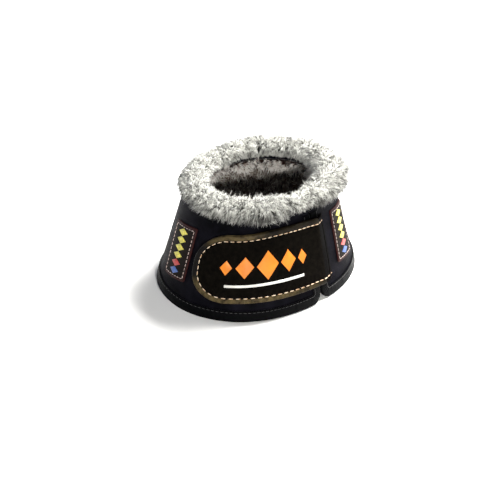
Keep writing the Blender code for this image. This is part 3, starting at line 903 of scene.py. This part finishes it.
def strap_outline(inset):
    """The strap's outline from its sewn end round its free end and back, drawn in by an inset."""
    radius = STRAP_END_RADIUS - inset
    low, high = STRAP_BOTTOM + inset, STRAP_TOP - inset
    centre = STRAP_TIP + inset + radius
    turns = [math.pi / 2 * n / TIP_STEPS for n in range(TIP_STEPS + 1)]
    upper = [(centre - radius * math.sin(t), high - radius + radius * math.cos(t)) for t in turns]
    lower = [(centre - radius * math.cos(t), low + radius - radius * math.sin(t)) for t in turns]
    return [(STRAP_BASE, high), *upper, *lower, (STRAP_BASE, low)]


def strap_body():
    """The whole strap, flat: x along it, y outwards, z up."""
    strap = bmesh.new()
    face = strap.faces.new([strap.verts.new((x, 0, z)) for x, z in strap_outline(0)])
    if face.normal.y > 0:
        bmesh.ops.reverse_faces(strap, faces=[face])
    top = pull(strap, [face], (0, STRAP_BACK + STRAP_RIM_RISE - STRAP_RIM_ROUND, 0))[0]
    if top.normal.y < 0:
        bmesh.ops.reverse_faces(strap, faces=[top])
    rise = STRAP_RIM_ROUND * math.pi / 6
    leans = [math.pi / 2 * (n + 0.5) / 3 for n in range(3)]
    steps = [(rise * math.sin(lean), rise * math.cos(lean)) for lean in leans]
    flat = STRAP_RIM_WIDTH - STRAP_RIM_ROUND - 1.4 * MM
    steps += [(flat / 2, 0.08 * MM), (flat / 2, -0.08 * MM), (0.5 * MM, -0.2 * MM), (0.5 * MM, -0.5 * MM)]
    steps += [(0.4 * MM, -0.25 * MM), (0.5 * MM, 0.05 * MM), (0.6 * MM, 0.2 * MM)]
    for thickness, depth in steps:
        bmesh.ops.inset_region(strap, faces=[top], thickness=thickness, depth=depth, use_even_offset=True)
    return strap


def steps_between(low, high, step):
    """The whole steps between two places."""
    return [n * step for n in range(math.ceil(low / step), math.floor(high / step) + 1)]


def cut_between(whole, low, high, step=BEND_STEP, carries_pile=False):
    """A copy of a flat strip from low to high, closed at its cuts, and cut across at every step to let it bend."""
    strip = whole.copy()
    for x, side in ((low, "clear_inner"), (high, "clear_outer")):
        parts = strip.verts[:] + strip.edges[:] + strip.faces[:]
        cut = bmesh.ops.bisect_plane(strip, geom=parts, plane_co=(x, 0, 0), plane_no=(1, 0, 0), **{side: True})
        edges = [e for e in cut["geom_cut"] if isinstance(e, bmesh.types.BMEdge)]
        if edges:
            bmesh.ops.edgeloop_fill(strip, edges=edges)
    cut_across(strip, steps_between(low, high, step), carries_pile=carries_pile)
    return strip


def laid(name, strip, place_of, sharp=40):
    """Lays a flat strip on the boot with place_of(x, y, z), and keeps its flat places as the map called cloth."""
    cloth = strip.loops.layers.uv.new("cloth")
    for face in strip.faces:
        for loop in face.loops:
            loop[cloth].uv = (loop.vert.co.x, loop.vert.co.z)
    for vert in strip.verts:
        vert.co = place_of(*vert.co)
    return finished(name, strip, sharp)


def along_strap(inset, pitch):
    """Places along the strap's edge, evenly a pitch apart, as (x, z, way along x, way along z)."""
    outline = strap_outline(inset)
    last = STRAP_BASE - STITCH_STOP
    outline = [(last, outline[0][1]), *outline[1:-1], (last, outline[-1][1])]
    places = []
    left = pitch / 2
    for (x0, z0), (x1, z1) in zip(outline, outline[1:]):
        length = math.hypot(x1 - x0, z1 - z0)
        while left < length:
            share = left / length
            places.append((x0 + (x1 - x0) * share, z0 + (z1 - z0) * share, (x1 - x0) / length, (z1 - z0) / length))
            left += pitch
        left -= length
    return places


def follow_strap(piece, part):
    """Works out the line of the fold's root, or of where the strap's tail peels, for a piece of the strap, and bakes
    the piece's place into its mesh.
    """
    if part == "root":
        line = [on_strap(x, 0, STRAP_MIDDLE) for x in (6 * MM, STRAP_SPLIT + MM / 2)]
        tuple(line[0])
        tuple(line[1])
        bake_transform(piece)
    else:
        line = [on_strap(x, 0, STRAP_MIDDLE) for x in (STRAP_SPLIT - MM / 2, -STRAP_FOLD - 6 * MM)]
        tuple(line[0])
        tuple(line[1])
        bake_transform(piece)


BRUSHED_DEEP = (0.0008, 0.0006, 0.0004)
BRUSHED_NAP = (0.0048, 0.0038, 0.0026)
RIM_DEEP = (0.0035, 0.0030, 0.0026)
RIM_PAINTED_SHEEN = (0.110, 0.082, 0.038)
ROOT_DEEP = (0.0003, 0.0003, 0.0003)
ROOT_LIGHT = (0.0024, 0.0020, 0.0020)
brushed_cloth, tree, shader = surface("brushed_cloth", 0.75, sheen=0.01, specular=0.02, tint=(1.0, 0.86, 0.66))
nap = grain(tree, 260, 6, 0.7)
paint(tree, shader, nap, (0.38, BRUSHED_DEEP), (0.68, BRUSHED_NAP))
bump(tree, shader, combine(tree, "ADD", nap, grain(tree, 1800, 2)), 0.16 * MM)

# Painted sheen: the rim is painted a warm golden brown, in patches, along its lower edge and at the top of its free
# end, where it catches the light; elsewhere it stays near black.
rim_cloth, tree, shader = surface("rim_cloth", 0.45, sheen=0.004, specular=0.06, tint=(1.0, 0.85, 0.55))
place = node(tree, "ShaderNodeUVMap", uv_map="cloth").outputs["UV"]
parts = node(tree, "ShaderNodeSeparateXYZ", {"Vector": place}).outputs
up = {"Value": parts["Y"], "From Min": STRAP_BOTTOM, "From Max": STRAP_TOP}
up = node(tree, "ShaderNodeMapRange", up).outputs["Result"]
along = {"Value": parts["X"], "From Min": STRAP_TIP, "From Max": 0}
along = node(tree, "ShaderNodeMapRange", along).outputs["Result"]
below = ramp(tree, up, (0.0, 0.95), (0.18, 0.9), (0.36, 0.0))
below = combine(tree, "MULTIPLY", below, ramp(tree, along, (0.5, 1.0), (0.85, 0.45), (1.0, 0.1)))
above = ramp(tree, up, (0.80, 0.0), (0.94, 0.8))
above = combine(tree, "MULTIPLY", above, ramp(tree, along, (0.38, 1.0), (0.56, 0.12)))
patches = ramp(tree, grain(tree, 170, 6, 0.65), (0.34, 0.12), (0.60, 1.0))
painted_sheen = combine(tree, "MULTIPLY", combine(tree, "ADD", below, above), patches)
paint(tree, shader, painted_sheen, (0.0, RIM_DEEP), (1.0, RIM_PAINTED_SHEEN))
bump(tree, shader, grain(tree, 1400, 1), 0.08 * MM)

root_cloth, tree, shader = surface("root_cloth", 0.6, specular=0.01)
place = node(tree, "ShaderNodeUVMap", uv_map="cloth").outputs["UV"]
checks = node(tree, "ShaderNodeTexChecker", {"Vector": place, "Scale": 900}).outputs["Fac"]
paint(tree, shader, checks, (0.0, ROOT_DEEP), (1.0, ROOT_LIGHT))
bump(tree, shader, checks, 0.15 * MM)

ORANGE = (0.87, 0.25, 0.018)
OFF_WHITE = (0.83, 0.82, 0.76)
PRINT_MIDDLE = STRAP_MIDDLE + 2.0 * MM
PRINT_SUNK = 0.4 * MM
PRINT_RISE = 0.18 * MM
PRINT_START, PRINT_END = -84.0 * MM, -20.0 * MM
RULE_BELOW = 15.0 * MM
RULE_HEIGHT = 2.2 * MM
PRINT = [(-84, 9, 13), (-70, 14, 19), (-52, 18, 25), (-34, 14, 19), (-20, 9, 13)]


def flat_pads(outlines, level, thickness):
    """Thin plates on outlines of (x, z) points, from a level outwards, with their edges eased."""
    pads = bmesh.new()
    ease = min(thickness * 0.3, 0.3 * MM)
    for outline in outlines:
        face = pads.faces.new([pads.verts.new((x, level, z)) for x, z in outline])
        face.normal_update()
        if face.normal.y > 0:
            bmesh.ops.reverse_faces(pads, faces=[face])
        top = pull(pads, [face], (0, thickness - ease, 0))[0]
        top.normal_update()
        if top.normal.y < 0:
            bmesh.ops.reverse_faces(pads, faces=[top])
        bmesh.ops.inset_region(pads, faces=[top], thickness=ease, depth=ease, use_even_offset=True)
    return pads


def rubber_print(name, colour):
    """A raised rubbery print of one colour."""
    made, tree, shader = surface(name, 0.45, specular=0.35)
    paint(tree, shader, grain(tree, 120, 4), (0.35, tuple(c * 0.78 for c in colour)), (0.6, colour))
    return made


orange_thread = thread_material("orange_thread", (0.90, 0.74, 0.54), (0.52, 0.26, 0.10))

whole = strap_body()
cut_across(whole, steps_between(STRAP_BOTTOM, STRAP_TOP, STRAP_ROW), axis=2)
for vert in whole.verts:
    if vert.co.y > MM:
        vert.co.y += pillow(vert.co.x, vert.co.z)
for part, (low, high) in {"root": (STRAP_SPLIT, STRAP_BASE), "tail": (STRAP_TIP, STRAP_SPLIT)}.items():
    piece = laid(f"strap_{part}_cloth", cut_between(whole, low, high), on_strap)
    for material in (brushed_cloth, rim_cloth, root_cloth):
        piece.data.materials.append(material)
    flat_places = piece.data.uv_layers["cloth"].data
    middle = STRAP_TIP + STRAP_END_RADIUS
    for polygon in piece.data.polygons:
        u = sum(flat_places[i].uv.x for i in polygon.loop_indices) / polygon.loop_total
        v = sum(flat_places[i].uv.y for i in polygon.loop_indices) / polygon.loop_total
        beside = max(abs(v - STRAP_MIDDLE) - STRAP_END_FLAT / 2, 0)
        to_end = STRAP_END_RADIUS - math.hypot(min(u - middle, 0), beside)
        side = min(v - STRAP_BOTTOM, STRAP_TOP - v)
        edge = min(to_end, side) if u < middle else side
        if u > STRAP_RIDGE:
            polygon.material_index = 2
        elif edge < STRAP_RIM_WIDTH - 0.3 * MM:
            polygon.material_index = 1
    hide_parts(*(("strap_base", "strap_fold") if part == "root" else ("strap_tail",)))
    follow_strap(piece, part)
    level = STRAP_BACK + STRAP_RIM_RISE * 0.35
    rows = []
    for x, z, way_x, way_z in along_strap(STITCH_INSET, STITCH_PITCH):
        if low < x <= high:
            ends = [on_strap(x + way_x * d, level, z + way_z * d) for d in (-MM, MM)]
            rows.append((on_strap(x, level, z), *ends, on_strap(x, level + MM, z)))
    seam = stitches(f"strap_{part}_stitches", rows, STITCH_LENGTH, STITCH_THICKNESS, orange_thread)
    follow_strap(seam, part)
whole.free()



def lozenge(x, z, width, height):
    """A lozenge's outline."""
    return [(x + width / 2, z), (x, z + height / 2), (x - width / 2, z), (x, z - height / 2)]


lozenges = [lozenge(place * MM, PRINT_MIDDLE, wide * MM, high * MM) for place, wide, high in PRINT]
low = PRINT_MIDDLE - RULE_BELOW
rule = [(PRINT_END, low), (PRINT_START, low), (PRINT_START, low - RULE_HEIGHT), (PRINT_END, low - RULE_HEIGHT)]
for name, outlines, colour in (("lozenges", lozenges, ORANGE), ("rule", [rule], OFF_WHITE)):
    print_mesh = flat_pads(outlines, STRAP_BACK - PRINT_SUNK, PRINT_SUNK + PRINT_RISE)
    print_mesh = cut_between(print_mesh, STRAP_TIP, 0)
    piece = laid(f"strap_{name}", print_mesh, lambda x, y, z: on_strap(x, y + pillow(x, z), z))
    piece.data.materials.append(rubber_print(name, colour))
    follow_strap(piece, "tail")

# Hook tape and loop panel. The hook tape is sewn inside the strap's free end and presses on the loop panel, which is
# sewn to the shell under it. Moulded hooks stand in rows on one, and a nap of fine loops on the other.
HOOK_LEVEL = 1.6 * MM
HOOK_TAPE = 1.0 * MM
HOOK_INSET = 5.0 * MM
LOOP_WIDTH = 35.0 * MM
LOOP_INSET = 3.0 * MM
LOOP_CORNER = 4.0 * MM
LOOP_HEIGHT = 0.9 * MM
LOOP_DENSITY = 4.0 / MM**2
LOOP_THREAD = 0.12 * MM
LOOP_BACK = 0.7 * MM
LOOP_TONES = [(0.012, 0.012, 0.013), (0.022, 0.022, 0.023), (0.022, 0.022, 0.023)]
PATCH_CORNER_STEPS = 3


def rounded_rectangle(width, height, radius, middle=(0, 0)):
    """A rectangle's outline with rounded corners, about its middle."""
    side, rise = width / 2 - radius, height / 2 - radius
    outline = []
    for quarter, (x, z) in enumerate([(side, rise), (-side, rise), (-side, -rise), (side, -rise)]):
        for n in range(PATCH_CORNER_STEPS + 1):
            turn = (quarter + n / PATCH_CORNER_STEPS) * math.pi / 2
            outline.append((middle[0] + x + radius * math.cos(turn), middle[1] + z + radius * math.sin(turn)))
    return outline


def on_shell(x, y, z):
    """A point of a patch that lies flat on the shell, by the same lengths as the strap's."""
    return on_boot(strap_angle(x), z, y)


hook_plastic, tree, shader = surface("hook_plastic", 0.6, specular=0.03)
shader.inputs["Base Color"].default_value = (0.0022, 0.0022, 0.0025, 1)
place = node(tree, "ShaderNodeTexCoord").outputs["Object"]
rows_of_hooks = node(tree, "ShaderNodeTexVoronoi", {"Vector": place, "Scale": 900}).outputs["Distance"]
bump(tree, shader, rows_of_hooks, 0.2 * MM)

near = -STRAP_FOLD - HOOK_INSET
outline = [p for p in strap_outline(HOOK_INSET) if p[0] < near]
outline = [(near, outline[0][1]), *outline, (near, outline[-1][1])]
pad = cut_between(flat_pads([outline], HOOK_LEVEL, HOOK_TAPE), STRAP_TIP, 0)
hooks = laid("hook_tape_cloth", pad, lambda x, y, z: on_shell(x, y, strap_height(x, z)))
hooks.data.materials.append(hook_plastic)
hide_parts("hook_tape")
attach(hooks, "strap_end")

# The loop nap's root value of 0.3 is painted shade at the foot of its loops.
loop_nap = pile_material("loop_nap", 0.3, 0.006, *LOOP_TONES)
high, low = STRAP_TOP - LOOP_INSET, STRAP_BOTTOM + LOOP_INSET
near = -(SHELL_END + BINDING_WIDTH + GAP) * shell_radius(STRAP_MIDDLE) / shell_radius(high)
outline = rounded_rectangle(LOOP_WIDTH, high - low, LOOP_CORNER, (near - LOOP_WIDTH / 2, (high + low) / 2))
pad = cut_between(flat_pads([outline], GAP, LOOP_BACK), STRAP_TIP, 0, carries_pile=True)
panel = laid("loop_back", pad, on_shell)


def outside(points, normals):
    """True where a patch's face looks away from the boot."""
    return np.sum(points[:, :2] * normals[:, :2], axis=1) > 0.02


nap = [LOOP_DENSITY, outside, all_of(LOOP_HEIGHT), any_way, 0.6, 0.0, 30]
loops = fleece("loop_nap", panel.data, *nap, width=LOOP_THREAD)
bpy.data.objects.remove(panel)
loops.data.materials.append(loop_nap)
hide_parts("loop_panel")
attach(loops, "left_front_panel")

# Labels. A dark woven cloth patch on each side, sewn to the shell all round with pale thread, with a dark red edge.
LABEL_WIDTH = 31.0 * MM
LABEL_HEIGHT = 48.0 * MM
LABEL_THICKNESS = 1.0 * MM
LABEL_CORNER = 1.5 * MM
LABEL_MIDDLE = (SHELL_BOTTOM + BINDING_WIDTH + COLLAR_BOTTOM) / 2
LABEL_STITCH_INSET = 2.6 * MM
LABEL_PITCH = 3.6 * MM
LABEL_STITCH = 2.7 * MM
LABEL_THREAD = 0.6 * MM
LABEL_STEP = 2.0 * MM
LABEL_EDGE = 1.6 * MM
MOTIF_WIDTH = 13.0 * MM
MOTIF_HEIGHT = 6.4 * MM
MOTIF_PITCH = 6.8 * MM
MOTIF_SUNK = 0.4 * MM
MOTIF_RISE = 0.2 * MM
YELLOW = (0.86, 0.76, 0.09)
RED = (0.55, 0.022, 0.015)
BLUE = (0.02, 0.10, 0.40)
MOTIFS = [("yellow", YELLOW, (2, 3, 4, 5)), ("red", RED, (1,)), ("blue", BLUE, (0,))]


def on_patch(centre, slope, lean):
    """How a label's flat (x, y, z) is laid on the boot about its centre line, with sloping ends and leaning sides."""

    def lay(x, y, z):
        across = x + z * math.tan(lean)
        height = LABEL_MIDDLE + z + x * math.tan(slope)
        oval = 1 + OVAL_SHARE * math.cos(2 * (centre - OVAL_DIRECTION))
        return on_boot(centre + across / (shell_radius(height) * oval), height, y)

    return lay


LABEL_DARK, LABEL_LIGHT = (0.0035, 0.0025, 0.0020), (0.014, 0.010, 0.008)
EDGE_DARK, EDGE_LIGHT = (0.010, 0.0020, 0.0018), (0.036, 0.0065, 0.0055)
woven_label, tree, shader = surface("woven_label", 0.55, sheen=0.003, specular=0.03)
threads = ribs(tree, 900, 0.3, bands_direction="Y")
paint(tree, shader, threads, (0.2, LABEL_DARK), (0.8, LABEL_LIGHT))
bump(tree, shader, threads, 0.06 * MM)
red_edge, tree, shader = surface("red_edge", 0.5, sheen=0.004, specular=0.08)
threads = ribs(tree, 700, 0.3, bands_direction="DIAGONAL")
paint(tree, shader, threads, (0.2, EDGE_DARK), (0.8, EDGE_LIGHT))
bump(tree, shader, threads, 0.08 * MM)
pale_thread = thread_material("pale_thread", (0.80, 0.62, 0.56))
motif_threads = {name: thread_material(f"{name}_thread", colour) for name, colour, places in MOTIFS}

for side, centre, slope, lean in (("left", -53.7, 8, 0), ("right", 82.5, -8, 7)):
    lay = on_patch(math.radians(centre), math.radians(slope), math.radians(lean))
    patch = flat_pads([rounded_rectangle(LABEL_WIDTH, LABEL_HEIGHT, LABEL_CORNER)], GAP, LABEL_THICKNESS)
    top = max(patch.faces, key=lambda f: f.calc_center_median().y)
    bmesh.ops.inset_region(patch, faces=[top], thickness=LABEL_EDGE, depth=0, use_even_offset=True)
    piece = laid(f"label_{side}_cloth", cut_between(patch, -LABEL_HEIGHT, LABEL_HEIGHT, LABEL_STEP), lay)
    patch.free()
    piece.data.materials.append(woven_label)
    piece.data.materials.append(red_edge)
    flat_places = piece.data.uv_layers["cloth"].data
    for polygon in piece.data.polygons:
        u = sum(abs(flat_places[i].uv.x) for i in polygon.loop_indices) / polygon.loop_total
        v = sum(abs(flat_places[i].uv.y) for i in polygon.loop_indices) / polygon.loop_total
        edge = min(LABEL_WIDTH / 2 - u, LABEL_HEIGHT / 2 - v)
        polygon.material_index = int(edge < LABEL_EDGE)
    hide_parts(f"label_{side}")
    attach(piece, f"{side}_front_panel")
    half_width, half_height = LABEL_WIDTH / 2 - LABEL_STITCH_INSET, LABEL_HEIGHT / 2 - LABEL_STITCH_INSET
    corners = [(across * half_width, up * half_height) for across, up in ((-1, -1), (1, -1), (1, 1), (-1, 1))]
    level = GAP + LABEL_THICKNESS
    rows = []
    for (x0, z0), (x1, z1) in zip(corners, corners[1:] + corners[:1]):
        length = math.hypot(x1 - x0, z1 - z0)
        count = round(length / LABEL_PITCH)
        for n in range(count):
            share = (n + 0.5) / count
            x, z = x0 + (x1 - x0) * share, z0 + (z1 - z0) * share
            way_x, way_z = (x1 - x0) / length * MM, (z1 - z0) / length * MM
            ends = [lay(x + way_x * d, level, z + way_z * d) for d in (-1, 1)]
            rows.append((lay(x, level, z), *ends, lay(x, level + MM, z)))
    seam = stitches(f"label_{side}_stitches", rows, LABEL_STITCH, LABEL_THREAD, pale_thread)
    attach(seam, f"{side}_front_panel")
    for name, colour, places in MOTIFS:
        outlines = [lozenge(0, (n - 2.5) * MOTIF_PITCH, MOTIF_WIDTH, MOTIF_HEIGHT) for n in places]
        shape = flat_pads(outlines, level - MOTIF_SUNK, MOTIF_SUNK + MOTIF_RISE)
        shape = cut_between(shape, -LABEL_WIDTH, LABEL_WIDTH, LABEL_STEP)
        motif = laid(f"label_{side}_{name}", shape, lay)
        motif.data.materials.append(motif_threads[name])
        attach(motif, f"{side}_front_panel")

# Studio. A plain pale floor that fades into a white backdrop, a small key lamp at the front right, a large soft lamp
# above and behind on the right, a weak one at the left, and the camera at the photograph's angle.
VIEW_DISTANCE = 1.1
VIEW_ELEVATION = math.radians(30.6)
VIEW_ROLL = math.radians(1.4)
VIEW_TARGET = Vector((0, 0, 0.045))
FOCAL_PIXELS = 1239
FRAME_PIXELS = 500
SENSOR_WIDTH = 36
FLOOR_HALF_WIDTH = 4
MIDDLE_PIXELS = (258.2, 223.5)
PAPER = (0.90, 0.90, 0.89, 1)
PAPER_BOUNCE = (0.20, 0.20, 0.20, 1)
FADE_START, FADE_END = 0.5, 1.3

camera_data = bpy.data.cameras.new("camera")
camera = bpy.data.objects.new("camera", camera_data)
bpy.context.scene.collection.objects.link(camera)
bpy.context.scene.camera = camera
back = Vector((0, -math.cos(VIEW_ELEVATION), math.sin(VIEW_ELEVATION)))
camera.location = VIEW_TARGET + back * VIEW_DISTANCE
look = (-back).to_track_quat("-Z", "Y").to_matrix().to_4x4()
camera.rotation_euler = look.to_euler()
camera.rotation_euler.rotate_axis("Z", VIEW_ROLL)
camera_data.sensor_width = SENSOR_WIDTH
camera_data.lens = FOCAL_PIXELS * SENSOR_WIDTH / FRAME_PIXELS
camera_data.shift_x = (FRAME_PIXELS / 2 - MIDDLE_PIXELS[0]) / FRAME_PIXELS
camera_data.shift_y = (MIDDLE_PIXELS[1] - FRAME_PIXELS / 2) / FRAME_PIXELS

floor_shape = bmesh.new()
bmesh.ops.create_grid(floor_shape, x_segments=1, y_segments=1, size=FLOOR_HALF_WIDTH)
floor = finished("floor", floor_shape)
paper, tree, shader = surface("paper", 0.9, specular=0.0)
rays = node(tree, "ShaderNodeLightPath").outputs
seen = combine(tree, "MAXIMUM", rays["Is Camera Ray"], rays["Is Glossy Ray"])
paper_colour = {"Factor": seen, 6: PAPER_BOUNCE, 7: PAPER}
paper_colour = node(tree, "ShaderNodeMix", paper_colour, data_type="RGBA").outputs[2]
tree.links.new(paper_colour, shader.inputs["Base Color"])
body = node(tree, "ShaderNodeTexCoord").outputs["Object"]
far = node(tree, "ShaderNodeVectorMath", {0: body}, operation="LENGTH").outputs["Value"]
far = node(tree, "ShaderNodeMapRange", {"Value": far, "From Min": FADE_START, "From Max": FADE_END}).outputs["Result"]
shader.inputs["Emission Color"].default_value = (1, 1, 1, 1)
tree.links.new(combine(tree, "MULTIPLY", far, seen), shader.inputs["Emission Strength"])
floor.data.materials.append(paper)

world = bpy.data.worlds.new("studio")
bpy.context.scene.world = world
world.use_nodes = True
tree = world.node_tree
background = tree.nodes["Background"]
rays = node(tree, "ShaderNodeLightPath").outputs["Is Camera Ray"]
place = node(tree, "ShaderNodeTexCoord").outputs["Generated"]
height = node(tree, "ShaderNodeSeparateXYZ", {"Vector": place}).outputs["Z"]
level = {"Value": height, "From Min": 0.15, "From Max": 0.8, "To Min": 0.26, "To Max": 0.04}
dim = node(tree, "ShaderNodeMapRange", level).outputs["Result"]
sky = node(tree, "ShaderNodeMix", {"Factor": rays, 2: dim, 3: 1.0}).outputs[0]
tree.links.new(sky, background.inputs["Strength"])
background.inputs["Color"].default_value = (1, 1, 1, 1)


def lamp(name, place, size, power, colour=(1, 1, 1)):
    """A soft square lamp that looks at the boot."""
    data = bpy.data.lights.new(name, "AREA")
    data.size = size
    data.energy = power
    data.color = colour
    made = bpy.data.objects.new(name, data)
    bpy.context.scene.collection.objects.link(made)
    made.location = place
    made.rotation_euler = (VIEW_TARGET - Vector(place)).to_track_quat("-Z", "Y").to_euler()


lamp("key_lamp", (0.30, -1.21, 0.55), 0.07, 16, (1.0, 0.985, 0.95))
lamp("top_lamp", (0.62, 0.50, 1.20), 0.6, 80, (1.0, 0.99, 0.97))
lamp("fill_lamp", (-1.2, 0.1, 0.6), 0.7, 5, (0.86, 0.90, 1.0))
bpy.context.scene.view_settings.view_transform = "Standard"
